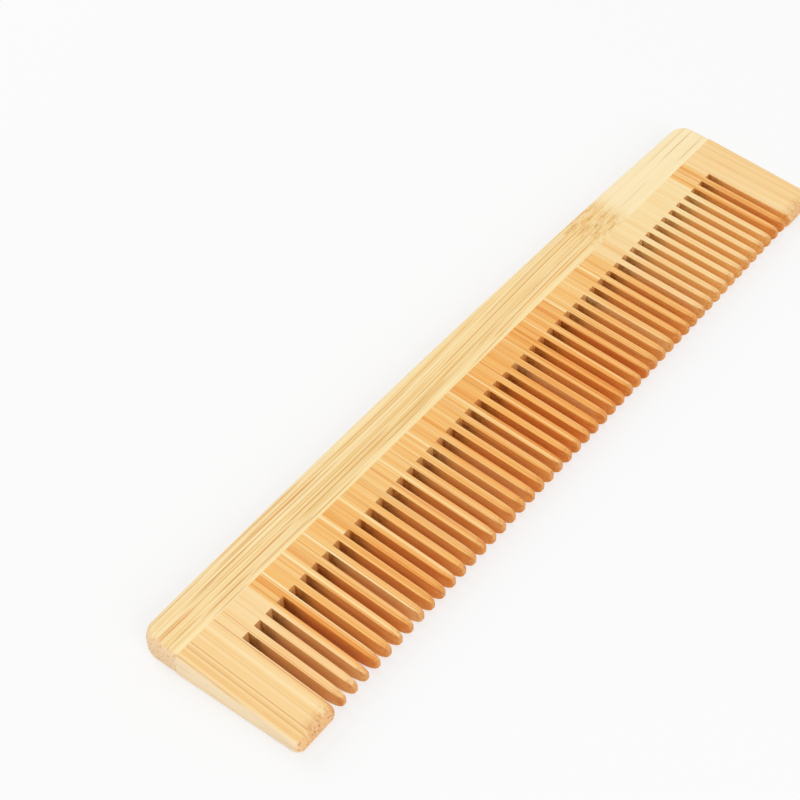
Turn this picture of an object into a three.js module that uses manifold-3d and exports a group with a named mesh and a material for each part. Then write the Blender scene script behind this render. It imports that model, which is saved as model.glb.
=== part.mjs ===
// A laminated bamboo hair comb, lying on its underside.
// A long spine strip has a stopped groove, which takes the tongues of a row of crosswise strips.
// The crosswise strips are glued edge to edge, then sawn together into teeth between two guards.
// Millimetres. +X runs along the comb, +Y towards the spine's back, +Z up. The underside is Z = 0.
import * as THREE from 'three';
import { mergeVertices } from 'three/addons/utils/BufferGeometryUtils.js';
import Module from 'manifold-3d';

const wasm = await Module();
wasm.setup();

// Teeth and the gaps between them. The roots follow a slight bow, so the middle gaps are the longest.
const toothPitch = 3.0;
const gapCount = 51;
const gapWidth = 1.5;
const gapLength = 20.05;
const rootBow = 0.6;
const toothTipWidth = 0.8;
const toothTipTaper = 4.2;

// Guards, from the outermost gap's edge to the comb's end, measured at the tips
const leftGuardWidth = 9.3;
const rightGuardWidth = 10.0;
const endFlare = 0.8;
const guardTipCorner = 1.6;

// Depth of the solid comb above the roots of the outermost gaps
const webDepth = 5.9;
const spineDepth = 9.4;
const spineEndCorner = 3.4;
const backBow = 1.0;

// Thickness: the underside is flat, and the upper face falls evenly from the back to the tips
const backThickness = 6.4;
const tipThickness = 3.36;
const backEdgeRound = 2.2;
const tipEdgeRound = 1.3;

// Stopped groove in the spine, and the tongues in it
const tongueThickness = 2.0;
const tongueLength = 3.0;
const cheekClearance = 0.1;
const tongueEndClearance = 0.3;
const grooveSetback = 6.0;

// Glue lines: guard strips in millimetres, tooth strips in half pitches from the first gap's middle
const leftOuterStripWidth = 3.0;
const rightOuterStripWidth = 3.2;
const leftGuardLand = 0.8;
const firstStripHalfPitches = 5;
const stripHalfPitches = [2, 4, 3, 4, 3, 4, 3, 3, 4, 4, 4, 4, 5, 3, 4, 5, 5, 3, 4, 4, 4, 6, 6, 4];

// How finely curves are divided, and how far a cutter runs past what it cuts
const outlineSteps = 6;
const edgeSteps = 3;
const overrun = 2.0;

const finishes = {
  spine: { color: 0xf3dca6, roughness: 0.55, metalness: 0 },
  pale: { color: 0xf1d39a, roughness: 0.55, metalness: 0 },
  honey: { color: 0xe9bd7c, roughness: 0.55, metalness: 0 },
  amber: { color: 0xdfa55e, roughness: 0.55, metalness: 0 },
};
const guardTone = 'pale';
const stripTones = [
  'pale', 'amber', 'honey', 'honey', 'honey', 'amber', 'honey', 'honey', 'pale',
  'honey', 'honey', 'honey', 'amber', 'amber', 'amber', 'amber', 'amber', 'honey',
  'honey', 'honey', 'pale', 'pale', 'pale', 'pale', 'honey',
];

// Places worked out from the sizes above
const gapFieldLength = (gapCount - 1) * toothPitch + gapWidth;
const combLength = leftGuardWidth + gapFieldLength + rightGuardWidth + 2 * endFlare;
const combDepth = gapLength + webDepth + spineDepth;
const leftEnd = -combLength / 2;
const rightEnd = combLength / 2;
const tipY = -combDepth / 2;
const rootY = tipY + gapLength;
const jointY = rootY + webDepth;
const backY = jointY + spineDepth;
const firstGapX = leftEnd + endFlare + leftGuardWidth + gapWidth / 2;
const lastGapX = firstGapX + (gapCount - 1) * toothPitch;
const thicknessAt = (y) => THREE.MathUtils.mapLinear(y, tipY, backY, tipThickness, backThickness);
const tongueZ = thicknessAt(jointY) / 2;
const grooveLeft = leftEnd + grooveSetback;
const grooveRight = rightEnd - grooveSetback;

// A closed mesh becomes a solid once its shared corners are merged.
function solidFrom(geometry) {
  geometry.deleteAttribute('normal');
  geometry.deleteAttribute('uv');
  const merged = mergeVertices(geometry);
  return new wasm.Manifold(new wasm.Mesh({
    numProp: 3,
    vertProperties: merged.getAttribute('position').array,
    triVerts: new Uint32Array(merged.index.array),
  }));
}

function geometryFrom(solid) {
  const mesh = solid.getMesh();
  const geometry = new THREE.BufferGeometry();
  geometry.setAttribute('position', new THREE.BufferAttribute(mesh.vertProperties, 3));
  geometry.setIndex(new THREE.BufferAttribute(mesh.triVerts, 1));
  geometry.computeVertexNormals();
  return geometry;
}

function box(low, high) {
  const geometry = new THREE.BoxGeometry(high.x - low.x, high.y - low.y, high.z - low.z);
  geometry.translate((low.x + high.x) / 2, (low.y + high.y) / 2, (low.z + high.z) / 2);
  return solidFrom(geometry);
}

// Extrudes an outline drawn in plan, from one height to another.
function plate(outline, bottom, top, steps) {
  const settings = { depth: top - bottom, bevelEnabled: false, curveSegments: steps };
  const geometry = new THREE.ExtrudeGeometry(outline, settings);
  geometry.translate(0, 0, bottom);
  return solidFrom(geometry);
}

// Extrudes a cross-section, drawn with Y to its right and Z up, from left to right along the comb.
function bar(section, left, right) {
  const settings = { depth: right - left, bevelEnabled: false, curveSegments: edgeSteps };
  const geometry = new THREE.ExtrudeGeometry(section, settings);
  const turn = new THREE.Matrix4().makeBasis(
    new THREE.Vector3(0, 1, 0),
    new THREE.Vector3(0, 0, 1),
    new THREE.Vector3(1, 0, 0),
  );
  geometry.applyMatrix4(turn);
  geometry.translate(left, 0, 0);
  return solidFrom(geometry);
}

// An outline through the given corners, anticlockwise, each rounded to its own radius.
// A corner's bow, if it has one, is how far the edge that leads to it bulges in +Y.
function roundedOutline(corners) {
  const outline = new THREE.Shape();
  corners.forEach((corner, i) => {
    const here = new THREE.Vector2(corner.x, corner.y);
    const before = corners[(i + corners.length - 1) % corners.length];
    const after = corners[(i + 1) % corners.length];
    const inward = new THREE.Vector2(before.x, before.y).sub(here).normalize();
    const outward = new THREE.Vector2(after.x, after.y).sub(here).normalize();
    const halfAngle = Math.acos(inward.dot(outward)) / 2;
    const reach = corner.radius / Math.tan(halfAngle);
    const start = here.clone().addScaledVector(inward, reach);
    const middle = inward.clone().add(outward).normalize();
    const centre = here.clone().addScaledVector(middle, corner.radius / Math.sin(halfAngle));
    const end = here.clone().addScaledVector(outward, reach);
    const startAngle = Math.atan2(start.y - centre.y, start.x - centre.x);
    const endAngle = Math.atan2(end.y - centre.y, end.x - centre.x);
    if (corner.bow) {
      const control = outline.currentPoint.clone().add(start).multiplyScalar(0.5);
      outline.quadraticCurveTo(control.x, control.y + 2 * corner.bow, start.x, start.y);
    }
    outline.absarc(centre.x, centre.y, corner.radius, startAngle, endAngle, false);
  });
  return outline;
}

// The comb's outline in plan: the ends lean out towards the spine, and the back bows out a little.
function planOutline() {
  const shoulderY = backY - backBow;
  return roundedOutline([
    { x: leftEnd + endFlare, y: tipY, radius: guardTipCorner },
    { x: rightEnd - endFlare, y: tipY, radius: guardTipCorner },
    { x: rightEnd, y: shoulderY, radius: spineEndCorner },
    { x: leftEnd, y: shoulderY, radius: spineEndCorner, bow: backBow },
  ]);
}

// The comb's cross-section: a wedge with a rounded back and a rounded nose at the tips.
function crossSection() {
  return roundedOutline([
    { x: tipY, y: 0, radius: tipEdgeRound },
    { x: backY, y: 0, radius: backEdgeRound },
    { x: backY, y: backThickness, radius: backEdgeRound },
    { x: tipY, y: tipThickness, radius: tipEdgeRound },
  ]);
}

function blank() {
  const plan = plate(planOutline(), -overrun, backThickness + overrun, outlineSteps);
  return plan.intersect(bar(crossSection(), leftEnd, rightEnd));
}

// How far up the comb a gap reaches.
function rootAt(x) {
  const middle = (firstGapX + lastGapX) / 2;
  const along = (x - middle) / (lastGapX - middle);
  return rootY + rootBow * (1 - along * along);
}

// One gap, square at its root. Its mouth widens in a curve, which rounds the tooth tips beside it.
function gapCutter(x) {
  const half = gapWidth / 2;
  const mouthHalf = (toothPitch - toothTipWidth) / 2;
  const taperY = tipY + toothTipTaper;
  const outline = new THREE.Shape();
  outline.moveTo(x - half, rootAt(x));
  outline.lineTo(x - half, taperY);
  outline.quadraticCurveTo(x - half, tipY + toothTipTaper / 3, x - mouthHalf, tipY);
  outline.lineTo(x - mouthHalf, tipY - overrun);
  outline.lineTo(x + mouthHalf, tipY - overrun);
  outline.lineTo(x + mouthHalf, tipY);
  outline.quadraticCurveTo(x + half, tipY + toothTipTaper / 3, x + half, taperY);
  outline.lineTo(x + half, rootAt(x));
  return plate(outline, -overrun, backThickness + overrun, edgeSteps);
}

// The tongue of the whole tooth board, before the board is divided into strips.
function tongueBar() {
  return box(
    new THREE.Vector3(grooveLeft + tongueEndClearance, jointY - overrun, tongueZ - tongueThickness / 2),
    new THREE.Vector3(grooveRight - tongueEndClearance, jointY + tongueLength, tongueZ + tongueThickness / 2),
  );
}

function spineSolid(wholeComb) {
  const aboveJoint = box(
    new THREE.Vector3(leftEnd - overrun, jointY, -overrun),
    new THREE.Vector3(rightEnd + overrun, backY + overrun, backThickness + overrun),
  );
  const grooveHalf = tongueThickness / 2 + cheekClearance;
  const groove = box(
    new THREE.Vector3(grooveLeft, jointY - overrun, tongueZ - grooveHalf),
    new THREE.Vector3(grooveRight, jointY + tongueLength + tongueEndClearance, tongueZ + grooveHalf),
  );
  return wholeComb.intersect(aboveJoint).subtract(groove);
}

function toothBoardSolid(wholeComb) {
  const belowJoint = box(
    new THREE.Vector3(leftEnd - overrun, tipY - overrun, -overrun),
    new THREE.Vector3(rightEnd + overrun, jointY, backThickness + overrun),
  );
  let board = wholeComb.intersect(belowJoint).add(tongueBar());
  for (let gap = 0; gap < gapCount; gap += 1) {
    board = board.subtract(gapCutter(firstGapX + gap * toothPitch));
  }
  return board;
}

// Every crosswise strip from left to right: its name, its two sides and its tone.
function stripLayout() {
  const strips = [];
  const addStrip = (name, left, right, tone) => strips.push({ name, left, right, tone });
  const guardLeft = firstGapX - gapWidth / 2 - leftGuardLand;
  const leftSplit = leftEnd + endFlare + leftOuterStripWidth;
  const rightSplit = rightEnd - endFlare - rightOuterStripWidth;
  addStrip('left_guard_outer_strip', leftEnd - overrun, leftSplit, guardTone);
  addStrip('left_guard_inner_strip', leftSplit, guardLeft, guardTone);
  let left = guardLeft;
  let halfPitches = firstStripHalfPitches;
  let count = 0;
  while (left < lastGapX) {
    const right = Math.min(firstGapX + (halfPitches * toothPitch) / 2, lastGapX);
    const name = `tooth_strip_${String(count + 1).padStart(2, '0')}`;
    addStrip(name, left, right, stripTones[count % stripTones.length]);
    left = right;
    halfPitches += stripHalfPitches[count % stripHalfPitches.length];
    count += 1;
  }
  addStrip('right_guard_inner_strip', lastGapX, rightSplit, guardTone);
  addStrip('right_guard_outer_strip', rightSplit, rightEnd + overrun, guardTone);
  return strips;
}

function stripSolid(board, strip) {
  const slice = box(
    new THREE.Vector3(strip.left, tipY - overrun, -overrun),
    new THREE.Vector3(strip.right, backY + overrun, backThickness + overrun),
  );
  return board.intersect(slice);
}

function namedMesh(name, solid, finish) {
  const mesh = new THREE.Mesh(geometryFrom(solid), new THREE.MeshStandardMaterial(finish));
  mesh.name = name;
  return mesh;
}

const group = new THREE.Group();
const wholeComb = blank();
const toothBoard = toothBoardSolid(wholeComb);
group.add(namedMesh('spine', spineSolid(wholeComb), finishes.spine));
for (const strip of stripLayout()) {
  group.add(namedMesh(strip.name, stripSolid(toothBoard, strip), finishes[strip.tone]));
}

export default group;
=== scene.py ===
import math

import bmesh
import bpy
from mathutils import Matrix, Vector


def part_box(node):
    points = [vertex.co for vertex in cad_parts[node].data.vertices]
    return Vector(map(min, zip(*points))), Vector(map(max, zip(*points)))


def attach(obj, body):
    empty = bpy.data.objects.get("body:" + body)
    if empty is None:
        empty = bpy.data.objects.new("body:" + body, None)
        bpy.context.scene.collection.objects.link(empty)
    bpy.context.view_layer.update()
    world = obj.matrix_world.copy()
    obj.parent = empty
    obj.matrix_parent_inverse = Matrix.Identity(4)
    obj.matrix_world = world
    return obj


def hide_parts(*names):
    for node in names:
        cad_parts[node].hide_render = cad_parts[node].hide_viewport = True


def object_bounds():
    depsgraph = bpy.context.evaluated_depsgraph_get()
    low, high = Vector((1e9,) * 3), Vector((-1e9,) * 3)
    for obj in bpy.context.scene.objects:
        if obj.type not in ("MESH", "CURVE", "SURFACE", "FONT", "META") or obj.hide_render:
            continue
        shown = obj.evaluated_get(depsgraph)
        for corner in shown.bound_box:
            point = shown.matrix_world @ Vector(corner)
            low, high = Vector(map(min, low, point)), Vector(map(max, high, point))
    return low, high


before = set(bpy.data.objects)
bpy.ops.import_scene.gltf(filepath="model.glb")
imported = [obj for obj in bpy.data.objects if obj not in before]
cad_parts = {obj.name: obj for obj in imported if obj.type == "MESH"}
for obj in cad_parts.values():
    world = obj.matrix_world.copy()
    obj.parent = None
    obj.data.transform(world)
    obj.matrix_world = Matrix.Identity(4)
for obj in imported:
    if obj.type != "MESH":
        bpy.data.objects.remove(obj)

cad_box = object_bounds()

# ---------------------------------------------------------------------------
# Sizes of the comb, in metres
# ---------------------------------------------------------------------------

PITCH = 0.0030            # from one tooth to the next
GAP_WIDTH = 0.0015
WEB_DEPTH = 0.0059        # solid wood between the spine and the roots of the outermost gaps
ROOT_BOW = 0.0006         # how much further up the comb the middle gaps reach
TIP_THICKNESS = 0.00336
NOSE_RADIUS = 0.0013      # rounding of the tips, seen from the side
TOOTH_NOSE = 0.0010       # the same for the upper edge of a tooth's tip
CHIN_LENGTH = 0.0040      # a tooth's underside rises towards its tip
CHIN_HEIGHT = 0.0019
TOOTH_TAPER = 0.0042      # length over which a tooth narrows to its tip
END_LEAN = 0.0006065      # how far a guard's end leans in between the spine and the tips
GUARD_CORNER = 0.0016
END_ROUND = 0.0011        # rounding along the comb's two ends
BACK_ROUND = 0.00241      # rounding along the spine's back
SPINE_CORNER = 0.0034
BACK_BOW = 0.0010
SIDE_DRAFT = 0.00005      # how far a tooth's side draws in between its root and its taper
TAPER_DRAFT = 0.00029     # how much further it draws in along the taper
TIP_CORNER = 0.00022      # rounding of a tooth's corners at the tip, seen from above
TIP_CORNER_LENGTH = 0.0004
ROOT_EDGE = 0.00012       # rounding of a tooth's long edges at the root,
TAPER_EDGE = 0.00024      # where its taper starts,
WORN_EDGE = 0.00044       # where its tip starts to close in,
TIP_EDGE = 0.00020        # and at the tip itself
TONGUE_THICKNESS = 0.0020
TONGUE_LENGTH = 0.0030
GROOVE_SETBACK = 0.0060
GROOVE_SLACK = 0.0003
CHEEK_SLACK = 0.0001
HAIR = 0.00001            # kept between the spine's ends and the outermost place they may reach
NEAR = 1e-6               # places this close count as the same
MM = 1000                 # millimetres in a metre

TIP_Y = cad_box[0].y
BACK_Y = cad_box[1].y
JOINT_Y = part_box("spine")[0].y
ROOT_Y = JOINT_Y - WEB_DEPTH
JOINT_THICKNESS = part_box("left_guard_inner_strip")[1].z
SLOPE = (JOINT_THICKNESS - TIP_THICKNESS) / (JOINT_Y - TIP_Y)
TONGUE_Z = JOINT_THICKNESS / 2
GAP_LENGTH = ROOT_Y - TIP_Y
FIRST_STRIP_PITCHES = 2.5
FIRST_GAP_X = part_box("tooth_strip_01")[1].x - FIRST_STRIP_PITCHES * PITCH
LAST_GAP_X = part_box("right_guard_inner_strip")[0].x
GAP_COUNT = round((LAST_GAP_X - FIRST_GAP_X) / PITCH) + 1
GAPS = [FIRST_GAP_X + i * PITCH for i in range(GAP_COUNT)]

# Places along a prong where its section is set, as distances from the tip
STATIONS = [GAP_LENGTH, 0.0120, 0.0070, TOOTH_TAPER, 0.0033, 0.0025, 0.0018, NOSE_RADIUS,
            0.0009, 0.00055, 0.00028, 0.0001, 0.0]


def upper_face(y):
    return TIP_THICKNESS + SLOPE * (y - TIP_Y)


def root_at(x):
    """How far up the comb the gap at x reaches."""
    middle = (FIRST_GAP_X + LAST_GAP_X) / 2
    along = (x - middle) / (LAST_GAP_X - middle)
    return ROOT_Y + ROOT_BOW * (1 - along * along)


# ---------------------------------------------------------------------------
# Tools for modelling
# ---------------------------------------------------------------------------

ROUNDING_SEGMENTS = 3
SMOOTH_ANGLE = math.radians(40)
FACING = 0.9              # a face points a way when this much of its normal does


def start_block(name, low, high):
    """A block between two corners, open for editing."""
    bpy.ops.object.select_all(action='DESELECT')
    low, high = Vector(low), Vector(high)
    bpy.ops.mesh.primitive_cube_add(size=1, location=(low + high) / 2, scale=high - low)
    piece = bpy.context.object
    piece.name = name
    piece.data.name = name
    bpy.ops.object.transform_apply(location=True, rotation=True, scale=True)
    bpy.ops.object.mode_set(mode='EDIT')
    return piece


def take_faces(piece, test):
    """Selects the faces whose middle and normal pass the test."""
    bpy.ops.mesh.select_mode(type='FACE')
    bpy.ops.mesh.select_all(action='DESELECT')
    mesh = bmesh.from_edit_mesh(piece.data)
    mesh.normal_update()
    for face in mesh.faces:
        if test(face.calc_center_median(), face.normal):
            face.select_set(True)
    bmesh.update_edit_mesh(piece.data)


def take_edges(piece, test):
    """Selects the edges that pass the test."""
    bpy.ops.mesh.select_mode(type='EDGE')
    bpy.ops.mesh.select_all(action='DESELECT')
    mesh = bmesh.from_edit_mesh(piece.data)
    mesh.normal_update()
    for edge in mesh.edges:
        if test(edge):
            edge.select_set(True)
    bmesh.update_edit_mesh(piece.data)


def split(point, normal):
    """Cuts what is selected along a plane."""
    bpy.ops.mesh.bisect(plane_co=point, plane_no=normal)


def pull(distance):
    """Extrudes what is selected along the comb's depth."""
    bpy.ops.mesh.extrude_region_move(TRANSFORM_OT_translate={"value": (0, distance, 0)})


def fit(old, new):
    """How much to scale, and about which place, to turn one span into another."""
    scale = (new[1] - new[0]) / (old[1] - old[0])
    if abs(scale - 1) < NEAR / 10:
        return 1.0, 0.0
    return scale, (new[0] - scale * old[0]) / (1 - scale)


def round_over(piece, widest, radius_of, clamp=True):
    """Rounds the edges that radius_of gives a radius for, up to the widest."""
    bpy.ops.mesh.select_mode(type='EDGE')
    mesh = bmesh.from_edit_mesh(piece.data)
    mesh.normal_update()
    groups = {}
    for edge in mesh.edges:
        radius = radius_of(edge)
        if radius:
            groups.setdefault(round(radius, 6), []).append(edge.index)
    for radius, indices in sorted(groups.items()):
        chosen = set(indices)
        take_edges(piece, lambda edge: edge.index in chosen)
        bpy.ops.transform.edge_bevelweight(value=min(radius / widest, 1.0))
    bpy.ops.object.mode_set(mode='OBJECT')
    bevel = piece.modifiers.new("round_over", 'BEVEL')
    bevel.limit_method = 'WEIGHT'
    bevel.width = widest
    bevel.segments = ROUNDING_SEGMENTS
    bevel.use_clamp_overlap = clamp
    bpy.ops.object.modifier_apply(modifier=bevel.name)


def finish_piece(piece, node, material):
    """Evens the shading, gives the material, hides the node that the piece stands in for and hangs the piece
    on the root body.
    """
    bpy.ops.object.shade_smooth_by_angle(angle=SMOOTH_ANGLE)
    even = piece.modifiers.new("even_shading", 'WEIGHTED_NORMAL')
    even.keep_sharp = True
    bpy.ops.object.modifier_apply(modifier=even.name)
    piece.data.materials.clear()
    piece.data.materials.append(material)
    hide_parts(node)
    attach(piece, "root")


def middle_of(edge):
    return (edge.verts[0].co + edge.verts[1].co) / 2


def is_upright(edge):
    across = edge.verts[1].co - edge.verts[0].co
    return abs(across.z) > FACING * across.length


# ---------------------------------------------------------------------------
# Crosswise strips
# ---------------------------------------------------------------------------

def nose_inset(d, length=NOSE_RADIUS, height=NOSE_RADIUS):
    """How far the upper or lower face closes in near the tip, as a quarter of an ellipse."""
    if d >= length:
        return 0.0
    return height * (1 - math.sqrt(1 - (1 - d / length) ** 2))


def gap_side_inset(d):
    """How far a tooth's side draws in from the gap's width at the root."""
    inset = SIDE_DRAFT * min(1.0, (GAP_LENGTH - d) / (GAP_LENGTH - TOOTH_TAPER))
    if d < TOOTH_TAPER:
        inset += TAPER_DRAFT * (1 - d / TOOTH_TAPER) ** 2.6
    return inset + nose_inset(d, TIP_CORNER_LENGTH, TIP_CORNER)


def end_side_inset(d):
    """How far a guard's end leans in, with its corner rounded at the tip."""
    inset = END_LEAN * (1 - d / (JOINT_Y - TIP_Y))
    if d < GUARD_CORNER:
        inset += GUARD_CORNER - math.sqrt(GUARD_CORNER ** 2 - (GUARD_CORNER - d) ** 2)
    return inset


SIDE_INSETS = {"glue": lambda d: 0.0, "gap": gap_side_inset, "end": end_side_inset}


def prongs_of(left, right, left_end, right_end):
    """Spans below the roots: from a glued side, a gap or the comb's end to the next."""
    half = GAP_WIDTH / 2
    prongs = []
    start, kind = left, "end" if left_end else "glue"
    for gap in GAPS:
        if gap + half <= left + NEAR or gap - half >= right - NEAR:
            continue
        if gap - half > start + NEAR:
            prongs.append((start, gap - half, kind, "gap"))
        start, kind = gap + half, "gap"
    if start < right - NEAR:
        prongs.append((start, right, kind, "end" if right_end else "glue"))
    return prongs


def section_at(prong, d):
    """A prong's sides and its lower and upper faces at a distance from the tip."""
    left, right, left_kind, right_kind = prong
    y = TIP_Y + d
    sides = (left + SIDE_INSETS[left_kind](d), right - SIDE_INSETS[right_kind](d))
    if right - left > PITCH:
        return sides, (nose_inset(d), upper_face(y) - nose_inset(d))
    chin = nose_inset(d, CHIN_LENGTH, CHIN_HEIGHT)
    return sides, (chin, upper_face(y) - nose_inset(d, TOOTH_NOSE, TOOTH_NOSE))


def draw_out(piece, prong):
    """Draws one prong out of the web, section by section, down to its tip."""
    left, right = prong[0], prong[1]
    take_faces(piece, lambda c, n: n.y < -FACING and abs(c.y - ROOT_Y) < NEAR and left < c.x < right)
    old_sides, old_faces = section_at(prong, GAP_LENGTH)
    y = ROOT_Y
    for d in STATIONS[1:]:
        sides, faces = section_at(prong, d)
        pull(TIP_Y + d - y)
        y = TIP_Y + d
        scale_x, about_x = fit(old_sides, sides)
        scale_z, about_z = fit(old_faces, faces)
        bpy.ops.transform.resize(value=(scale_x, 1, scale_z), center_override=(about_x, y, about_z))
        old_sides, old_faces = sides, faces


def tooth_edge_radius(d):
    """A tooth's long edges are crisp at the root and worn round towards the tip."""
    if d > TOOTH_TAPER:
        return ROOT_EDGE + (TAPER_EDGE - ROOT_EDGE) * (GAP_LENGTH - d) / (GAP_LENGTH - TOOTH_TAPER)
    if d > NOSE_RADIUS:
        return TAPER_EDGE + (WORN_EDGE - TAPER_EDGE) * (TOOTH_TAPER - d) / (TOOTH_TAPER - NOSE_RADIUS)
    return TIP_EDGE + (WORN_EDGE - TIP_EDGE) * d / NOSE_RADIUS


def end_edge_radius(d):
    """The ends' rounding, which takes just under half of what height the nose leaves."""
    return min(END_ROUND, 0.48 * (TIP_THICKNESS - 2 * nose_inset(d)))


def crosswise_strip(node, material):
    """One strip of the comb: its share of the web, its tongue, and the prongs that are sawn out of it."""
    low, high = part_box(node)
    left, right = low.x, high.x
    left_end, right_end = node.startswith("left_guard_outer"), node.startswith("right_guard_outer")
    piece = start_block("bamboo_" + node, (left, ROOT_Y, 0), (right, JOINT_Y, JOINT_THICKNESS))

    # the upper face falls towards the root, and the ends lean in
    take_faces(piece, lambda c, n: n.y < -FACING)
    web = (left, right, "end" if left_end else "glue", "end" if right_end else "glue")
    sides, faces = section_at(web, GAP_LENGTH)
    scale_x, about_x = fit((left, right), sides)
    scale_z, about_z = fit((0, JOINT_THICKNESS), faces)
    bpy.ops.transform.resize(value=(scale_x, 1, scale_z), center_override=(about_x, ROOT_Y, about_z))

    # the tongue
    tongue_left = max(left, cad_box[0].x + GROOVE_SETBACK + GROOVE_SLACK)
    tongue_right = min(right, cad_box[1].x - GROOVE_SETBACK - GROOVE_SLACK)
    if tongue_left < tongue_right:
        for side in (-1, 1):
            take_faces(piece, lambda c, n: n.y > FACING)
            split((0, JOINT_Y, TONGUE_Z + side * TONGUE_THICKNESS / 2), (0, 0, 1))
        for x in (tongue_left, tongue_right):
            if left + NEAR < x < right - NEAR:
                take_faces(piece, lambda c, n: n.y > FACING)
                split((x, JOINT_Y, 0), (1, 0, 0))
        take_faces(piece, lambda c, n: n.y > FACING and abs(c.z - TONGUE_Z) < TONGUE_THICKNESS / 2
                   and tongue_left < c.x < tongue_right)
        pull(TONGUE_LENGTH)

    # the prongs
    prongs = prongs_of(left, right, left_end, right_end)
    for edge_x in sorted({x for prong in prongs for x in prong[:2]}):
        if max(left, sides[0]) + NEAR < edge_x < min(right, sides[1]) - NEAR:
            take_faces(piece, lambda c, n: n.y < -FACING and abs(c.y - ROOT_Y) < NEAR)
            split((edge_x, ROOT_Y, 0), (1, 0, 0))
    for prong in prongs:
        draw_out(piece, prong)

    # the roots follow their bow
    for gap in GAPS:
        at_root = lambda c, n: n.y < -FACING and abs(c.y - ROOT_Y) < NEAR and abs(c.x - gap) < GAP_WIDTH / 2
        if left - GAP_WIDTH / 2 < gap < right + GAP_WIDTH / 2 and root_at(gap) > ROOT_Y + NEAR:
            take_faces(piece, at_root)
            higher = upper_face(root_at(gap)) / upper_face(ROOT_Y)
            bpy.ops.transform.resize(value=(1, 1, higher), center_override=(gap, ROOT_Y, 0))
            bpy.ops.transform.translate(value=(0, root_at(gap) - ROOT_Y, 0))

    glue = [x for x, is_end in ((left, left_end), (right, right_end)) if not is_end]

    def on_glue(edge):
        return any(all(abs(v.co.x - x) < 2 * NEAR for v in edge.verts) for x in glue)

    def radius_of(edge):
        if len(edge.link_faces) != 2 or is_upright(edge) or on_glue(edge):
            return None
        middle = middle_of(edge)
        if middle.y > JOINT_Y - NEAR:
            return None
        side = [f for f in edge.link_faces if abs(f.normal.x) > 0.5]
        flat = [f for f in edge.link_faces if abs(f.normal.x) <= 0.5]
        if len(side) == 1 and len(flat) == 1:
            d = middle.y - TIP_Y
            at_left_end = left_end and side[0].normal.x < 0
            at_right_end = right_end and side[0].normal.x > 0
            if at_left_end or at_right_end:
                return end_edge_radius(d)
            return tooth_edge_radius(d)
        root_wall = [f for f in edge.link_faces if f.normal.y < -FACING]
        if len(root_wall) == 1 and ROOT_Y - NEAR < middle.y < ROOT_Y + ROOT_BOW + NEAR:
            return ROOT_EDGE
        return None

    round_over(piece, END_ROUND, radius_of)
    finish_piece(piece, node, material)


# ---------------------------------------------------------------------------
# Spine
# ---------------------------------------------------------------------------

CORNER_SEGMENTS = 48
BACK_STEPS = 24
JOINT_BAND = 0.0025       # an even band of faces beside the joint
ROUND_GROWTH = 0.005      # length over which the ends' rounding grows from the joint


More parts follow.
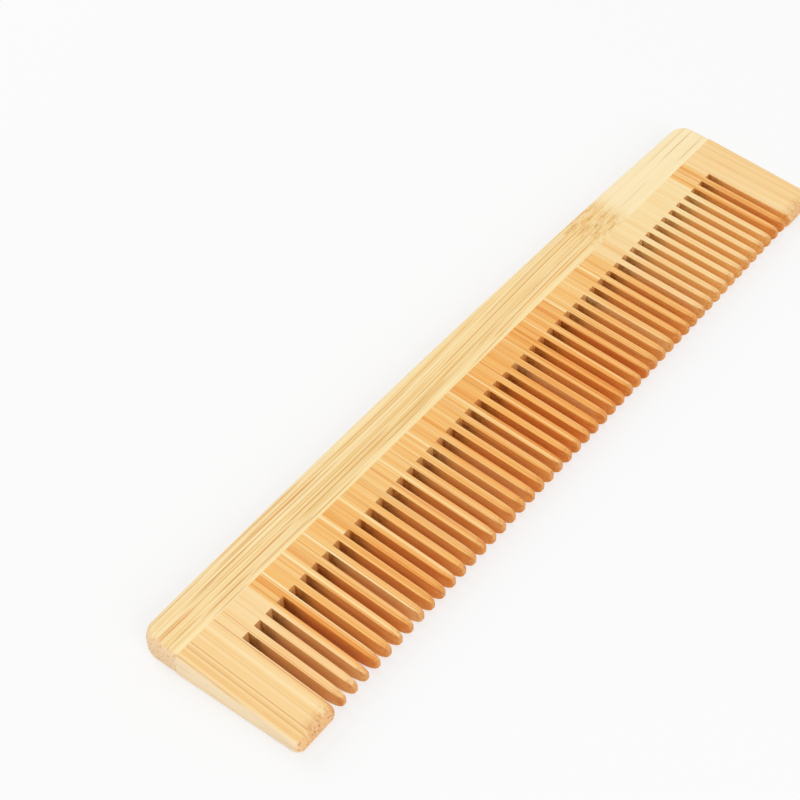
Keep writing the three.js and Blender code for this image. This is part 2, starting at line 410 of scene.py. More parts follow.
def spine(material):
    """The long strip, grooved for the tongues, with a bowed and rounded back."""
    shoulder_y = BACK_Y - BACK_BOW
    lean = END_LEAN * (shoulder_y - JOINT_Y) / (JOINT_Y - TIP_Y)
    joint_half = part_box("right_guard_outer_strip")[1].x
    half = joint_half + lean - HAIR
    block_top = 0.0075        # above all of the sloping face
    piece = start_block("bamboo_spine", (-half, JOINT_Y, 0), (half, shoulder_y, block_top))

    # the ends lean in towards the joint
    take_faces(piece, lambda c, n: n.y < -FACING)
    bpy.ops.transform.resize(value=(joint_half / half, 1, 1), center_override=(0, JOINT_Y, 0))

    # the groove in the joint face
    groove_half = half - GROOVE_SETBACK
    groove_cheek = TONGUE_THICKNESS / 2 + CHEEK_SLACK
    on_joint = lambda c, n: n.y < -FACING and abs(c.y - JOINT_Y) < NEAR
    for side in (-1, 1):
        take_faces(piece, on_joint)
        split((0, JOINT_Y, TONGUE_Z + side * groove_cheek), (0, 0, 1))
        take_faces(piece, on_joint)
        split((side * groove_half, JOINT_Y, 0), (1, 0, 0))
    take_faces(piece, lambda c, n: on_joint(c, n) and abs(c.z - TONGUE_Z) < groove_cheek
               and abs(c.x) < groove_half)
    pull(TONGUE_LENGTH + GROOVE_SLACK)

    # the corners, then the slight bow of the back
    take_edges(piece, lambda e: is_upright(e) and all(v.co.y > shoulder_y - NEAR for v in e.verts))
    bpy.ops.mesh.bevel(offset=SPINE_CORNER, segments=CORNER_SEGMENTS, affect='EDGES')
    straight = half - SPINE_CORNER
    steps = BACK_STEPS
    for i in range(1, steps):
        take_faces(piece, lambda c, n: n.y > FACING)
        split((straight * (2 * i / steps - 1), shoulder_y, 0), (1, 0, 0))
    for i in range(1, steps):
        x = straight * (2 * i / steps - 1)
        take_edges(piece, lambda e: is_upright(e) and abs(middle_of(e).x - x) < 10 * NEAR
                   and middle_of(e).y > shoulder_y - NEAR)
        bpy.ops.transform.translate(value=(0, BACK_BOW * (1 - (x / straight) ** 2), 0))

    # the sloping upper face
    bpy.ops.mesh.select_all(action='SELECT')
    bpy.ops.mesh.bisect(plane_co=(0, TIP_Y, TIP_THICKNESS), plane_no=(0, -SLOPE, 1),
                        use_fill=True, clear_outer=True)
    take_faces(piece, lambda c, n: True)
    split((0, JOINT_Y + JOINT_BAND, 0), (0, 1, 0))

    def radius_of(edge):
        if len(edge.link_faces) != 2 or is_upright(edge):
            return None
        level = [f for f in edge.link_faces if abs(f.normal.z) > FACING]
        wall = [f for f in edge.link_faces if abs(f.normal.z) < 0.3]
        middle = middle_of(edge)
        if len(level) != 1 or len(wall) != 1 or middle.y < JOINT_Y + NEAR:
            return None
        if wall[0].normal.y < -FACING or abs(middle.z - TONGUE_Z) < groove_cheek + NEAR:
            return None
        grown = min(1.0, (middle.y - JOINT_Y) / ROUND_GROWTH)
        share = 0.35 * grown + 0.65 * abs(wall[0].normal.y)
        return END_ROUND + (BACK_ROUND - END_ROUND) * min(1.0, share)

    round_over(piece, BACK_ROUND, radius_of, clamp=False)
    finish_piece(piece, "spine", material)


# ---------------------------------------------------------------------------
# Finishes
# ---------------------------------------------------------------------------

def colour(red, green, blue):
    """A colour given as it looks, each part from 0 to 255, as the amounts of light that a shader takes."""
    def light(value):
        value /= 255
        return value / 12.92 if value <= 0.04045 else ((value + 0.055) / 1.055) ** 2.4
    return (light(red), light(green), light(blue), 1.0)


def node(tree, kind, **settings):
    made = tree.nodes.new(kind)
    for name, value in settings.items():
        setattr(made, name, value)
    return made


def feed(tree, socket, value):
    if isinstance(value, bpy.types.NodeSocket):
        tree.links.new(value, socket)
    else:
        socket.default_value = value


def calc(tree, operation, a, b=0.0, c=0.0, clamp=False):
    made = node(tree, 'ShaderNodeMath', operation=operation, use_clamp=clamp)
    for socket, value in zip(made.inputs, (a, b, c)):
        feed(tree, socket, value)
    return made.outputs[0]


def blend(tree, amount, first, second, how='MIX'):
    made = node(tree, 'ShaderNodeMix', data_type='RGBA', blend_type=how)
    feed(tree, made.inputs[0], amount)
    feed(tree, made.inputs[6], first)
    feed(tree, made.inputs[7], second)
    return made.outputs[2]


def ramp(tree, value, low, high, to_low=0.0, to_high=1.0):
    """A smooth step from to_low to to_high as the value goes from low to high."""
    made = node(tree, 'ShaderNodeMapRange', interpolation_type='SMOOTHSTEP')
    for socket, number in zip(made.inputs, (value, low, high, to_low, to_high)):
        feed(tree, socket, number)
    return made.outputs[0]


def noise(tree, vector, scale, detail, roughness=0.5):
    made = node(tree, 'ShaderNodeTexNoise')
    feed(tree, made.inputs['Vector'], vector)
    made.inputs['Scale'].default_value = scale
    made.inputs['Detail'].default_value = detail
    made.inputs['Roughness'].default_value = roughness
    return made.outputs['Fac']


def effect(name, inputs, outputs):
    """A reusable effect: a node group with named inputs and outputs."""
    tree = bpy.data.node_groups.new(name, 'ShaderNodeTree')
    for title, kind, default in inputs:
        socket = tree.interface.new_socket(title, in_out='INPUT', socket_type=kind)
        if default is not None:
            socket.default_value = default
    for title, kind in outputs:
        tree.interface.new_socket(title, in_out='OUTPUT', socket_type=kind)
    return tree, tree.nodes.new('NodeGroupInput').outputs, tree.nodes.new('NodeGroupOutput').inputs


def place(tree, group, **values):
    made = node(tree, 'ShaderNodeGroup', node_tree=group)
    for title, value in values.items():
        feed(tree, made.inputs[title.replace('_', ' ')], value)
    return made.outputs


FLOAT, VECTOR, COLOUR = 'NodeSocketFloat', 'NodeSocketVector', 'NodeSocketColor'
WHITE = (1, 1, 1, 1)
RIB_SPACING = 0.66        # between the ribs that show in split bamboo, in mm


def make_bamboo_grain():
    """Bamboo's fibres. The grain runs along the vector's Y, and the vector is in millimetres."""
    tree, given, out = effect(
        "bamboo_grain",
        [("Vector", VECTOR, None), ("Tone", COLOUR, WHITE), ("Fibre tone", COLOUR, WHITE),
         ("Pale tone", COLOUR, WHITE), ("Fibre amount", FLOAT, 0.5), ("Along", VECTOR, (1.0, 0.002, 1.4)),
         ("Fading", FLOAT, 0.5), ("Ribs", FLOAT, 0.0)],
        [("Colour", COLOUR), ("Height", FLOAT), ("Bundles", FLOAT), ("Roughness", FLOAT)])

    def stretched(by):
        made = node(tree, 'ShaderNodeVectorMath', operation='MULTIPLY')
        feed(tree, made.inputs[0], given['Vector'])
        feed(tree, made.inputs[1], by)
        return made.outputs[0]

    drawn = stretched(given['Along'])
    fibres = noise(tree, drawn, 1.9, 3.0, 0.65)
    threads = noise(tree, drawn, 5.0, 1.0, 0.5)
    bands = noise(tree, drawn, 0.75, 1.0, 0.5)
    patches = noise(tree, stretched((0.5, 0.06, 0.5)), 1.0, 2.0, 0.6)
    fade = ramp(tree, noise(tree, stretched((1.1, 0.07, 0.8)), 1.0, 1.0), 0.36, 0.6)
    fade = calc(tree, 'MULTIPLY_ADD', calc(tree, 'SUBTRACT', fade, 1.0), given['Fading'], 1.0)
    cells = node(tree, 'ShaderNodeTexVoronoi', feature='F1')
    feed(tree, cells.inputs['Vector'], drawn)
    cells.inputs['Scale'].default_value = 1.5
    bundles = ramp(tree, cells.outputs['Distance'], 0.05, 0.26, 1.0, 0.0)
    lines = calc(tree, 'MULTIPLY', bundles, 0.6)
    lines = calc(tree, 'MULTIPLY_ADD', ramp(tree, fibres, 0.51, 0.62), 0.8, lines)
    lines = calc(tree, 'MULTIPLY', lines, fade)
    dark = calc(tree, 'MULTIPLY_ADD', ramp(tree, threads, 0.45, 0.7), 0.3, lines)
    dark = calc(tree, 'MULTIPLY', dark, given['Fibre amount'])
    apart = node(tree, 'ShaderNodeSeparateXYZ')
    feed(tree, apart.inputs[0], given['Vector'])
    sway = calc(tree, 'MULTIPLY', bands, 9.0)
    swing = calc(tree, 'MULTIPLY_ADD', apart.outputs['X'], 2 * math.pi / RIB_SPACING, sway)
    ribs = calc(tree, 'MULTIPLY', ramp(tree, calc(tree, 'SINE', swing), 0.1, 1.0), given['Ribs'])
    dark = calc(tree, 'MULTIPLY_ADD', ribs, fade, dark, clamp=True)
    pale = calc(tree, 'MULTIPLY', ramp(tree, bands, 0.42, 0.58), 0.5)
    pale = calc(tree, 'MULTIPLY_ADD', ramp(tree, fibres, 0.48, 0.36), 0.5, pale)
    pale = calc(tree, 'MULTIPLY_ADD', ramp(tree, patches, 0.5, 0.7), 0.25, pale, clamp=True)
    tone = blend(tree, pale, given['Tone'], given['Pale tone'])
    tone = blend(tree, dark, tone, given['Fibre tone'])
    feed(tree, out['Colour'], tone)
    feed(tree, out['Height'], calc(tree, 'MULTIPLY_ADD', fibres, 0.6, calc(tree, 'MULTIPLY', threads, 0.4)))
    dots = node(tree, 'ShaderNodeTexVoronoi', feature='F1')
    feed(tree, dots.inputs['Vector'], stretched((1.0, 0.05, 1.0)))
    dots.inputs['Scale'].default_value = 1.7
    feed(tree, out['Bundles'], ramp(tree, dots.outputs['Distance'], 0.15, 0.42, 1.0, 0.0))
    feed(tree, out['Roughness'], calc(tree, 'MULTIPLY_ADD', fibres, 0.16, 0.46))
    return tree


def make_streak():
    """A straight line or band in the wood, laid over a colour between two ends."""
    tree, given, out = effect(
        "streak",
        [("Colour", COLOUR, WHITE), ("Streak tone", COLOUR, WHITE), ("Across", FLOAT, 0.0),
         ("Along", FLOAT, 0.0), ("Place", FLOAT, 0.0), ("Half width", FLOAT, 0.2), ("From", FLOAT, -100.0),
         ("To", FLOAT, 100.0), ("Fade", FLOAT, 3.0), ("Strength", FLOAT, 1.0)],
        [("Colour", COLOUR)])
    off = calc(tree, 'ABSOLUTE', calc(tree, 'SUBTRACT', given['Across'], given['Place']))
    line = ramp(tree, calc(tree, 'DIVIDE', off, given['Half width']), 0.3, 1.3, 1.0, 0.0)
    starts = calc(tree, 'DIVIDE', calc(tree, 'SUBTRACT', given['Along'], given['From']), given['Fade'])
    starts = ramp(tree, starts, -1.0, 1.0)
    stops = calc(tree, 'DIVIDE', calc(tree, 'SUBTRACT', given['To'], given['Along']), given['Fade'])
    stops = ramp(tree, stops, -1.0, 1.0)
    amount = calc(tree, 'MULTIPLY', calc(tree, 'MULTIPLY', line, starts), stops)
    amount = calc(tree, 'MULTIPLY', amount, given['Strength'])
    feed(tree, out['Colour'], blend(tree, amount, given['Colour'], given['Streak tone']))
    return tree


# Share of the light that the teeth below the root, and the gap walls by the root (burnt wood and painted
# shade), still throw back, next to fresh wood
TOOTH_TINT = (1.0, 0.90, 0.82, 1)
BURNT_AND_SHADED = (0.50, 0.34, 0.22, 1)


def make_cut_and_shade():
    """Teeth tinted darker below the root, with a deeper tone on their sawn sides that darkens towards the
    root, as burnt wood and painted shade.
    """
    tree, given, out = effect(
        "cut_and_shade",
        [("Colour", COLOUR, WHITE), ("Facing", FLOAT, 0.0), ("Depth", FLOAT, 0.0), ("Inside", FLOAT, 1.0),
         ("Mellow", FLOAT, 0.0), ("Side tone", COLOUR, WHITE), ("Scorch", FLOAT, 0.8)],
        [("Colour", COLOUR)])
    side = ramp(tree, calc(tree, 'ABSOLUTE', given['Facing']), 0.5, 0.9)
    side = calc(tree, 'MULTIPLY', side, given['Inside'])
    below_root = ramp(tree, given['Depth'], -0.1, 0.1)
    side = calc(tree, 'MULTIPLY', side, below_root)
    # Painted shade: the sawn sides darken towards the root, partly for burnt wood and partly for the shade
    # deep in the narrow gaps.
    burn_and_shade = calc(tree, 'MULTIPLY', ramp(tree, given['Depth'], 0.0, 5.5, 1.0, 0.0), side)
    # The teeth's darker tint grows over the first 6 mm below the root.
    tooth_tint = calc(tree, 'MULTIPLY', ramp(tree, given['Depth'], 0.0, 6.0), given['Mellow'])
    burn_and_shade = calc(tree, 'MULTIPLY', burn_and_shade, given['Scorch'])
    tone = blend(tree, tooth_tint, given['Colour'], TOOTH_TINT, 'MULTIPLY')
    tone = blend(tree, side, tone, given['Side tone'], 'MULTIPLY')
    tone = blend(tree, burn_and_shade, tone, BURNT_AND_SHADED, 'MULTIPLY')
    feed(tree, out['Colour'], tone)
    return tree


def make_growth_node():
    """A growth node: the fibres break up into ochre blotches and short scratches."""
    tree, given, out = effect(
        "growth_node",
        [("Colour", COLOUR, WHITE), ("Vector", VECTOR, None), ("Along", FLOAT, 0.0), ("Centre", FLOAT, 0.0),
         ("Reach", FLOAT, 6.0), ("Blotch tone", COLOUR, WHITE)],
        [("Colour", COLOUR)])
    off = calc(tree, 'ABSOLUTE', calc(tree, 'SUBTRACT', given['Along'], given['Centre']))
    near = ramp(tree, calc(tree, 'DIVIDE', off, given['Reach']), 0.5, 1.15, 1.0, 0.0)
    slanted = node(tree, 'ShaderNodeMapping')
    feed(tree, slanted.inputs['Vector'], given['Vector'])
    slanted.inputs['Rotation'].default_value = (0.0, 0.0, 0.35)
    slanted.inputs['Scale'].default_value = (1.0, 0.42, 1.0)
    blotches = ramp(tree, noise(tree, slanted.outputs[0], 1.0, 3.0, 0.65), 0.44, 0.62)
    scratches = ramp(tree, noise(tree, slanted.outputs[0], 2.6, 2.0, 0.6), 0.52, 0.64)
    amount = calc(tree, 'MULTIPLY_ADD', scratches, 0.4, calc(tree, 'MULTIPLY', blotches, 0.45))
    amount = calc(tree, 'MULTIPLY', amount, near, clamp=True)
    feed(tree, out['Colour'], blend(tree, amount, given['Colour'], given['Blotch tone']))
    return tree


def make_end_grain():
    """The walls that face one way: a tone of their own, with dots or streaks for the bundles."""
    tree, given, out = effect(
        "end_grain",
        [("Colour", COLOUR, WHITE), ("Cut tone", COLOUR, WHITE), ("Dot tone", COLOUR, WHITE),
         ("Facing", FLOAT, 0.0), ("Bundles", FLOAT, 0.0), ("Amount", FLOAT, 0.7)],
        [("Colour", COLOUR)])
    mask = ramp(tree, calc(tree, 'ABSOLUTE', given['Facing']), 0.25, 0.85)
    cut = blend(tree, calc(tree, 'MULTIPLY', given['Bundles'], 0.75), given['Cut tone'], given['Dot tone'])
    amount = calc(tree, 'MULTIPLY', mask, given['Amount'])
    feed(tree, out['Colour'], blend(tree, amount, given['Colour'], cut))
    return tree


def make_worn_tip():
    """Ochre mottling where the teeth's tips are tumbled and handled."""
    tree, given, out = effect(
        "worn_tip",
        [("Colour", COLOUR, WHITE), ("Vector", VECTOR, None), ("Depth", FLOAT, 0.0), ("Reach", FLOAT, 20.0),
         ("Wear tone", COLOUR, WHITE)],
        [("Colour", COLOUR)])
    near = ramp(tree, calc(tree, 'SUBTRACT', given['Reach'], given['Depth']), 0.2, 3.2, 1.0, 0.0)
    mottle = ramp(tree, noise(tree, given['Vector'], 1.7, 3.0, 0.65), 0.42, 0.64)
    amount = calc(tree, 'MULTIPLY', calc(tree, 'MULTIPLY_ADD', mottle, 0.5, 0.12), near)
    feed(tree, out['Colour'], blend(tree, amount, given['Colour'], given['Wear tone']))
    return tree


BAMBOO_GRAIN = make_bamboo_grain()
STREAK = make_streak()
CUT_AND_SHADE = make_cut_and_shade()
GROWTH_NODE = make_growth_node()
END_GRAIN = make_end_grain()
WORN_TIP = make_worn_tip()

# Tones of the strips: body, fibres and pale bands
TONES = {
    "cream": ((249, 218, 158), (240, 200, 134), (251, 227, 174)),
    "straw": ((248, 211, 148), (238, 188, 118), (251, 221, 168)),
    "honey": ((246, 191, 112), (232, 164, 84), (249, 211, 144)),
    "amber": ((244, 183, 101), (229, 152, 70), (248, 200, 126)),
    "toffee": ((242, 174, 90), (226, 142, 58), (246, 192, 112)),
}
FIBRE_AMOUNTS = {"cream": 0.6, "straw": 0.75, "honey": 1.0, "amber": 1.0, "toffee": 1.0}
ORANGE = (226, 138, 56)
GOLD = (216, 163, 86)
RUST = (206, 136, 66)
IVORY = (254, 233, 180)

# Lines along the crosswise strips: place along the comb in mm, half width in mm, tone, strength
STRIP_LINES = [
    (-85.4, 0.20, GOLD, 0.5), (-83.2, 0.16, RUST, 0.5), (-82.1, 0.16, RUST, 0.5),
    (-79.8, 0.15, GOLD, 0.25), (-78.2, 0.30, IVORY, 0.4), (-76.5, 0.16, RUST, 0.55),
    (-74.3, 0.14, ORANGE, 0.5), (-67.2, 0.22, RUST, 0.35), (-65.8, 0.40, ORANGE, 0.35),
    (-65.0, 0.16, ORANGE, 0.6), (-64.2, 0.26, IVORY, 0.85), (-60.3, 0.14, ORANGE, 0.4),
    (-58.9, 0.24, IVORY, 0.85), (-57.0, 0.50, ORANGE, 0.35), (-55.5, 0.14, IVORY, 0.5),
    (-53.4, 0.26, IVORY, 0.85), (-50.7, 0.14, ORANGE, 0.35), (-48.8, 0.34, IVORY, 0.75),
    (-45.0, 0.16, ORANGE, 0.45), (-43.5, 0.22, IVORY, 0.7), (-41.2, 0.12, IVORY, 0.4),
    (-37.6, 0.18, RUST, 0.35), (-34.6, 0.34, ORANGE, 0.6), (-32.1, 0.22, IVORY, 0.7),
    (-29.0, 0.18, IVORY, 0.6), (-23.8, 0.26, IVORY, 0.75), (-20.5, 0.14, IVORY, 0.35),
    (-13.2, 0.18, ORANGE, 0.6), (-10.9, 0.24, IVORY, 0.6), (-9.4, 0.40, ORANGE, 0.45),
    (-6.5, 0.26, RUST, 0.6), (-5.0, 0.20, IVORY, 0.7), (-1.3, 0.13, IVORY, 0.45),
    (3.4, 0.13, IVORY, 0.45), (7.0, 0.13, IVORY, 0.3), (10.4, 0.20, ORANGE, 0.4),
    (13.5, 0.18, IVORY, 0.55), (18.5, 0.42, ORANGE, 0.6), (21.0, 0.20, IVORY, 0.65),
    (25.2, 0.20, ORANGE, 0.35), (27.5, 0.22, IVORY, 0.65), (31.8, 0.36, ORANGE, 0.5),
    (33.1, 0.24, IVORY, 0.85), (38.6, 0.16, IVORY, 0.4), (41.8, 0.14, GOLD, 0.35),
    (45.2, 0.14, RUST, 0.3), (51.2, 0.14, GOLD, 0.3), (69.8, 0.30, ORANGE, 0.35),
    (71.2, 0.16, IVORY, 0.4), (72.8, 0.40, ORANGE, 0.35), (75.1, 0.16, IVORY, 0.5),
    (82.4, 0.16, GOLD, 0.25),
]

# Lines along the spine: mm from the joint, start and end along the comb, half width, tone, strength
SPINE_LINES = [
    (7.15, -84.0, -72.0, 0.18, RUST, 0.45), (7.75, -67.0, -36.0, 0.16, RUST, 0.7),
    (6.75, -60.0, -20.0, 0.16, GOLD, 0.45), (5.35, -74.0, -62.0, 0.18, RUST, 0.7),
    (5.95, -52.0, -43.0, 0.20, RUST, 0.45), (4.35, -86.0, -79.0, 0.16, RUST, 0.6),
    (3.85, -85.0, -77.0, 0.22, ORANGE, 0.6), (5.05, -78.0, -70.0, 0.16, GOLD, 0.6),
    (3.25, -54.0, -26.0, 0.16, RUST, 0.65), (2.70, -72.0, -54.0, 0.18, RUST, 0.7),
    (2.35, -51.0, -14.0, 0.16, GOLD, 0.85), (2.15, -84.0, -78.0, 0.16, GOLD, 0.8),
    (1.50, -76.0, -66.0, 0.18, RUST, 0.7), (1.05, -65.0, -50.0, 0.16, RUST, 0.6),
    (0.65, -51.0, -38.0, 0.15, GOLD, 0.7), (1.35, -29.0, -16.0, 0.16, GOLD, 0.65),
    (4.15, -6.0, 42.0, 0.16, RUST, 0.5), (5.15, 8.0, 40.0, 0.16, GOLD, 0.65),
    (2.55, -12.0, 10.0, 0.15, GOLD, 0.6), (3.45, -17.0, -4.0, 0.14, GOLD, 0.6),
    (0.85, 6.0, 34.0, 0.18, ORANGE, 0.45), (-0.05, -2.0, 10.0, 0.14, GOLD, 0.6),
    (6.55, -28.0, 6.0, 0.14, GOLD, 0.4), (1.75, 20.0, 42.0, 0.15, GOLD, 0.6),
    (0.05, 28.0, 40.0, 0.15, GOLD, 0.7), (1.35, 53.0, 64.0, 0.14, GOLD, 0.35),
    (2.65, 73.0, 84.0, 0.16, GOLD, 0.6), (-0.15, 75.0, 84.0, 0.16, GOLD, 0.6),
    (4.35, 70.0, 85.0, 0.14, GOLD, 0.35), (0.35, -76.0, -68.0, 0.16, RUST, 0.6),
    (6.40, -67.0, -57.0, 0.18, RUST, 0.55), (6.15, -58.0, -44.0, 0.20, ORANGE, 0.6),
    (4.45, -72.0, -12.0, 0.14, GOLD, 0.5), (5.40, -68.0, -38.0, 0.14, GOLD, 0.6),
    (6.10, -70.0, -16.0, 0.15, GOLD, 0.55), (7.65, -46.0, 44.0, 0.55, IVORY, 0.6),
    (4.95, -64.0, -50.0, 0.25, IVORY, 0.6), (0.65, -86.0, -74.0, 0.45, IVORY, 0.6),
    (0.55, -14.0, 6.0, 0.45, IVORY, 0.6),
]

# Marks at the spine's growth node, given the same way
NODE_MARKS = [
    (5.55, 39.0, 43.0, 0.45, GOLD, 0.6), (4.35, 45.5, 47.5, 0.30, GOLD, 0.7),
    (2.65, 48.0, 50.5, 0.40, GOLD, 0.5), (0.75, 47.5, 50.5, 0.35, GOLD, 0.55),
    (-0.55, 46.0, 48.0, 0.30, GOLD, 0.6), (2.15, 45.0, 45.8, 0.20, (140, 90, 48), 0.8),
    (1.05, 42.5, 45.5, 0.22, GOLD, 0.6), (6.55, 44.5, 48.0, 0.25, GOLD, 0.6),
    (3.55, 41.0, 43.5, 0.22, RUST, 0.4),
]
NODE_X = 46.0             # the growth node's middle, in mm
NODE_REACH = 6.5          # how far it reaches to either side

# The sawn sides by tone, or by strip: the light that they throw back, and how far they darken towards the
# root, as burnt wood and painted shade
SAWN_SIDES = {
    "cream": ((1.0, 0.84, 0.56, 1), 0.68),
    "straw": ((0.93, 0.79, 0.59, 1), 0.82),
    "honey": ((0.94, 0.80, 0.60, 1), 0.85),
    "amber": ((0.94, 0.80, 0.60, 1), 0.85),
    "toffee": ((0.94, 0.80, 0.60, 1), 0.85),
    "right_guard_inner_strip": ((1.0, 0.74, 0.43, 1), 0.68),
}

GRAIN_RISE = 1.5          # how far the spine's grain climbs across it, in mm
GRAIN_CLIMB = (-30.0, 40.0)   # where along the comb it does so, in mm

# The crosswise strips from left to right, and their tones
STRIP_TONES = {
    "left_guard_outer_strip": "straw", "left_guard_inner_strip": "straw",
    "tooth_strip_01": "straw", "tooth_strip_02": "amber", "tooth_strip_03": "honey",
    "tooth_strip_04": "honey", "tooth_strip_05": "honey", "tooth_strip_06": "amber",
    "tooth_strip_07": "honey", "tooth_strip_08": "honey", "tooth_strip_09": "honey",
    "tooth_strip_10": "honey", "tooth_strip_11": "amber", "tooth_strip_12": "honey",
    "tooth_strip_13": "toffee", "tooth_strip_14": "toffee", "tooth_strip_15": "amber",
    "tooth_strip_16": "toffee", "tooth_strip_17": "amber", "tooth_strip_18": "honey",
    "tooth_strip_19": "honey", "tooth_strip_20": "honey", "tooth_strip_21": "straw",
    "tooth_strip_22": "cream", "tooth_strip_23": "cream", "tooth_strip_24": "cream",
    "tooth_strip_25": "honey", "right_guard_inner_strip": "straw", "right_guard_outer_strip": "straw",
}


def start_material(name):
    material = bpy.data.materials.new(name)
    material.use_nodes = True
    tree = material.node_tree
    shader = tree.nodes['Principled BSDF']
    shader.inputs['Specular IOR Level'].default_value = 0.3
    return material, tree, shader


def in_millimetres(tree, shift, turned):
    """Places in the piece, in millimetres.

    Gives the places with the grain along Y, moved by the shift, then how far each lies across and
    along the grain, which way the surface faces, and the plain places.
    """
    places = node(tree, 'ShaderNodeTexCoord')
    plain = node(tree, 'ShaderNodeMapping')
    feed(tree, plain.inputs['Vector'], places.outputs['Object'])
    plain.inputs['Scale'].default_value = (MM, MM, MM)
    apart = node(tree, 'ShaderNodeSeparateXYZ')
    feed(tree, apart.inputs[0], plain.outputs[0])
    normal = node(tree, 'ShaderNodeSeparateXYZ')
    feed(tree, normal.inputs[0], places.outputs['Normal'])
    along, across = ('X', 'Y') if turned else ('Y', 'X')
    across_value = apart.outputs[across]
    if turned:
        rise = ramp(tree, apart.outputs[along], *GRAIN_CLIMB, 0.0, GRAIN_RISE)
        across_value = calc(tree, 'SUBTRACT', calc(tree, 'SUBTRACT', across_value, JOINT_Y * MM), rise)
    level = calc(tree, 'MULTIPLY_ADD', apart.outputs['Y'], -SLOPE, apart.outputs['Z'])
    joined = node(tree, 'ShaderNodeCombineXYZ')
    feed(tree, joined.inputs[0], across_value)
    feed(tree, joined.inputs[1], apart.outputs[along])
    feed(tree, joined.inputs[2], level)
    moved = node(tree, 'ShaderNodeVectorMath', operation='ADD')
    feed(tree, moved.inputs[0], joined.outputs[0])
    moved.inputs[1].default_value = shift
    return moved.outputs[0], across_value, apart.outputs[along], normal.outputs, apart.outputs


def grain_bump(tree, shader, height):
    bump = node(tree, 'ShaderNodeBump')
    bump.inputs['Strength'].default_value = 0.25
    bump.inputs['Distance'].default_value = 0.00005
    feed(tree, bump.inputs['Height'], height)
    feed(tree, shader.inputs['Normal'], bump.outputs[0])


def strip_finish(name, tone, seed):
    """Bamboo with the grain across the comb, sawn sides in the gaps, and cut fibres at roots and tips."""
    body, fibre, pale = (colour(*t) for t in TONES[tone])
    material, tree, shader = start_material("bamboo_" + name)
    vector, across, along, facing, _ = in_millimetres(tree, (17.3 * seed, 41.7 * seed, 5.9 * seed), False)
    grain = place(tree, BAMBOO_GRAIN, Vector=vector, Tone=body, Fibre_tone=fibre, Pale_tone=pale,
                  Fibre_amount=FIBRE_AMOUNTS[tone], Along=(1.0, 0.002, 1.0), Fading=0.4)
    tint = grain['Colour']
    low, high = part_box(name)
    for line_place, half_width, line_tone, strength in STRIP_LINES:
        if low.x * MM - half_width < line_place < high.x * MM + half_width:
            tint = place(tree, STREAK, Colour=tint, Streak_tone=colour(*line_tone), Across=across,
                         Along=along, Place=line_place, Half_width=half_width, Strength=strength)['Colour']
    depth = calc(tree, 'SUBTRACT', ROOT_Y * MM, along)
    inside = 0.0 if name.endswith("outer_strip") else 1.0
    tooth_tint = 1.0 if name.startswith("tooth") else 0.0
    # The sawn sides' darkening towards the root is burnt wood and painted shade, uneven along the comb.
    side_tone, burn_and_shade = SAWN_SIDES.get(name, SAWN_SIDES[tone])
    uneven = ramp(tree, noise(tree, vector, 0.9, 3.0, 0.7), 0.35, 0.65, 0.6, 1.3)
    burn_and_shade = calc(tree, 'MULTIPLY', uneven, burn_and_shade)
    tint = place(tree, CUT_AND_SHADE, Colour=tint, Facing=facing['X'], Depth=depth, Inside=inside,
                 Mellow=tooth_tint, Side_tone=side_tone, Scorch=burn_and_shade)['Colour']
    if inside:
        tint = place(tree, WORN_TIP, Colour=tint, Vector=vector, Depth=depth, Reach=GAP_LENGTH * MM,
                     Wear_tone=colour(198, 116, 50))['Colour']
    else:
        tint = place(tree, END_GRAIN, Colour=tint, Cut_tone=colour(255, 238, 208), Facing=facing['X'],
                     Dot_tone=colour(236, 186, 124), Bundles=grain['Bundles'], Amount=0.6)['Colour']
    tip_tone = colour(220, 154, 92) if name.startswith("tooth") else colour(235, 184, 128)
    cut_tone = blend(tree, ramp(tree, depth, 4.0, 12.0), colour(234, 174, 102), tip_tone)
    cut = place(tree, END_GRAIN, Colour=tint, Cut_tone=cut_tone, Dot_tone=colour(160, 96, 50),
                Facing=facing['Y'], Bundles=grain['Bundles'], Amount=0.8)
    feed(tree, shader.inputs['Base Color'], cut['Colour'])
    feed(tree, shader.inputs['Roughness'], grain['Roughness'])
    grain_bump(tree, shader, grain['Height'])
    return material


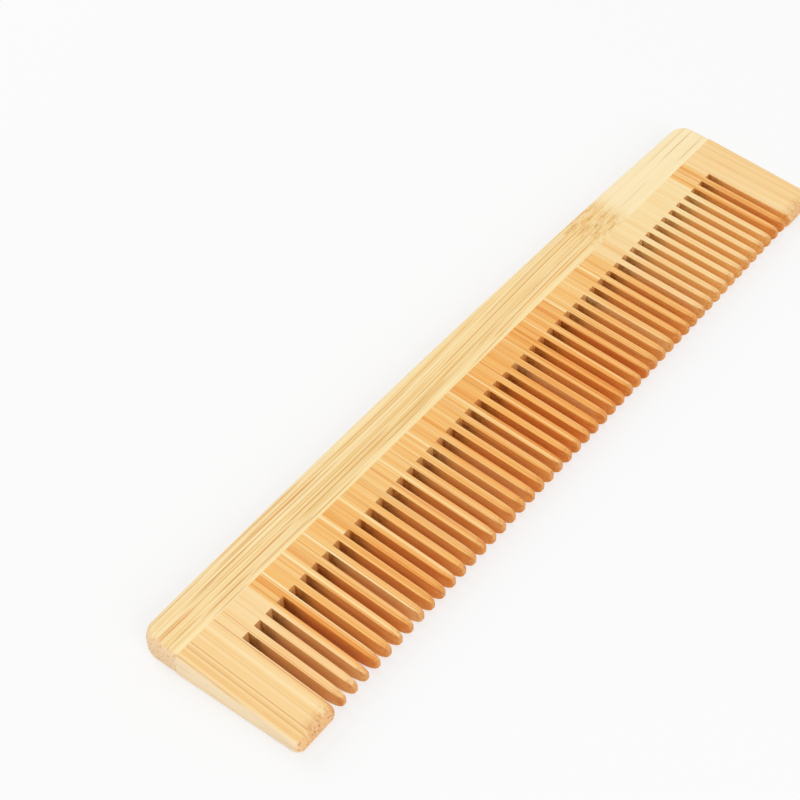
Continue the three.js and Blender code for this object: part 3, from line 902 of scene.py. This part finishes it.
def spine_finish():
    """Bamboo with the grain along the comb, a growth node, and a paler stretch past it."""
    material, tree, shader = start_material("bamboo_spine")
    vector, across, along, facing, spot = in_millimetres(tree, (25.35, 41.7, 5.9), True)
    past_node = ramp(tree, along, NODE_X + 2, NODE_X + 10)
    fibre_amount = calc(tree, 'MULTIPLY_ADD', past_node, -0.35, 0.72)
    ribs = calc(tree, 'MULTIPLY_ADD', past_node, -0.30, 0.42)
    grain = place(tree, BAMBOO_GRAIN, Vector=vector, Tone=colour(248, 217, 156),
                  Fibre_tone=colour(231, 184, 108), Pale_tone=colour(252, 230, 180),
                  Fibre_amount=fibre_amount, Along=(1.15, 0.006, 1.1), Fading=0.65, Ribs=ribs)
    beside_joint = ramp(tree, spot['Y'], JOINT_Y * MM + 0.3, JOINT_Y * MM + 1.4, 0.6, 0.0)
    tint = blend(tree, beside_joint, grain['Colour'], colour(*IVORY))
    tint = blend(tree, calc(tree, 'MULTIPLY', past_node, 0.55), tint, colour(253, 238, 198))
    tint = place(tree, GROWTH_NODE, Colour=tint, Vector=vector, Along=along, Centre=NODE_X, Reach=NODE_REACH,
                 Blotch_tone=colour(226, 169, 90))['Colour']
    for lines, fade in ((SPINE_LINES, 3.0), (NODE_MARKS, 0.7)):
        for line_place, start, end, half_width, line_tone, strength in lines:
            tint = place(tree, STREAK, Colour=tint, Streak_tone=colour(*line_tone), Across=across,
                         Along=along, Place=line_place, Half_width=half_width, From=start, To=end,
                         Fade=fade, Strength=strength)['Colour']
    cut = place(tree, END_GRAIN, Colour=tint, Cut_tone=colour(246, 211, 172),
                Dot_tone=colour(196, 142, 94), Facing=facing['X'], Bundles=grain['Bundles'], Amount=0.75)
    feed(tree, shader.inputs['Base Color'], cut['Colour'])
    feed(tree, shader.inputs['Roughness'], grain['Roughness'])
    grain_bump(tree, shader, grain['Height'])
    return material


# ---------------------------------------------------------------------------
# The comb
# ---------------------------------------------------------------------------

spine(spine_finish())
for number, (strip, tone) in enumerate(STRIP_TONES.items()):
    crosswise_strip(strip, strip_finish(strip, tone, 2.0 + number))


# ---------------------------------------------------------------------------
# Floor, light and camera
# ---------------------------------------------------------------------------

FLOOR_GLOW = 0.62         # how far the floor's own white shows through to the camera
STUDIO_LIGHT = 0.72       # strength of the studio's light on the comb and the floor
LAMP_SIZE = 0.6


def white_floor():
    """A pale floor that the camera sees as nearly white, with the comb's shadow on it."""
    bpy.ops.object.select_all(action='DESELECT')
    bpy.ops.mesh.primitive_plane_add(size=12, location=(0, 0, -0.00002))
    floor = bpy.context.object
    floor.name = "floor"
    bpy.ops.object.transform_apply(location=True, rotation=True, scale=True)
    material = bpy.data.materials.new("floor_white")
    material.use_nodes = True
    tree = material.node_tree
    shader = tree.nodes['Principled BSDF']
    shader.inputs['Base Color'].default_value = colour(244, 244, 244)
    shader.inputs['Roughness'].default_value = 0.9
    shader.inputs['Specular IOR Level'].default_value = 0.0
    glow = node(tree, 'ShaderNodeEmission')
    glow.inputs['Color'].default_value = WHITE
    path = node(tree, 'ShaderNodeLightPath')
    mix = node(tree, 'ShaderNodeMixShader')
    feed(tree, mix.inputs[0], calc(tree, 'MULTIPLY', path.outputs['Is Camera Ray'], FLOOR_GLOW))
    feed(tree, mix.inputs[1], shader.outputs[0])
    feed(tree, mix.inputs[2], glow.outputs[0])
    feed(tree, tree.nodes['Material Output'].inputs[0], mix.outputs[0])
    floor.data.materials.append(material)


def studio_world():
    """Even light from all round, which the camera and reflections see as white."""
    world = bpy.data.worlds.new("studio")
    bpy.context.scene.world = world
    world.use_nodes = True
    tree = world.node_tree
    backdrop = tree.nodes['Background']
    backdrop.inputs['Color'].default_value = WHITE
    path = node(tree, 'ShaderNodeLightPath')
    shown = calc(tree, 'ADD', path.outputs['Is Camera Ray'], path.outputs['Is Glossy Ray'], clamp=True)
    strength = calc(tree, 'MULTIPLY_ADD', shown, 1 - STUDIO_LIGHT, STUDIO_LIGHT)
    feed(tree, backdrop.inputs['Strength'], strength)


def soft_lamp(name, place_at, power):
    """A square lamp that faces the comb's middle."""
    lamp = bpy.data.lights.new(name, 'AREA')
    lamp.shape = 'SQUARE'
    lamp.size = LAMP_SIZE
    lamp.energy = power
    holder = bpy.data.objects.new(name, lamp)
    bpy.context.scene.collection.objects.link(holder)
    holder.location = place_at
    holder.rotation_euler = (-Vector(place_at)).to_track_quat('-Z', 'Y').to_euler()


def studio_camera():
    """Looks along the comb, and down, from beyond its left end on the teeth's side."""
    eye = Vector((-0.18146, -0.111275, 0.22842))
    right = Vector((0.61119, -0.79148, 0.00235)).normalized()
    forward = Vector((0.53815, 0.41339, -0.73451)).normalized()
    up = right.cross(forward)
    camera = bpy.data.cameras.new("camera")
    camera.lens = 72.99
    camera.sensor_width = 36
    camera.clip_start = 0.01
    holder = bpy.data.objects.new("camera", camera)
    bpy.context.scene.collection.objects.link(holder)
    turn = Matrix((right, up, -forward)).transposed()
    holder.matrix_world = Matrix.Translation(eye) @ turn.to_4x4()
    bpy.context.scene.camera = holder


white_floor()
studio_world()
soft_lamp("front", (-0.35, -0.80, 0.60), 3.5)
soft_lamp("back", (0.10, 0.80, 0.50), 2.3)
studio_camera()
bpy.context.scene.view_settings.view_transform = 'Standard'
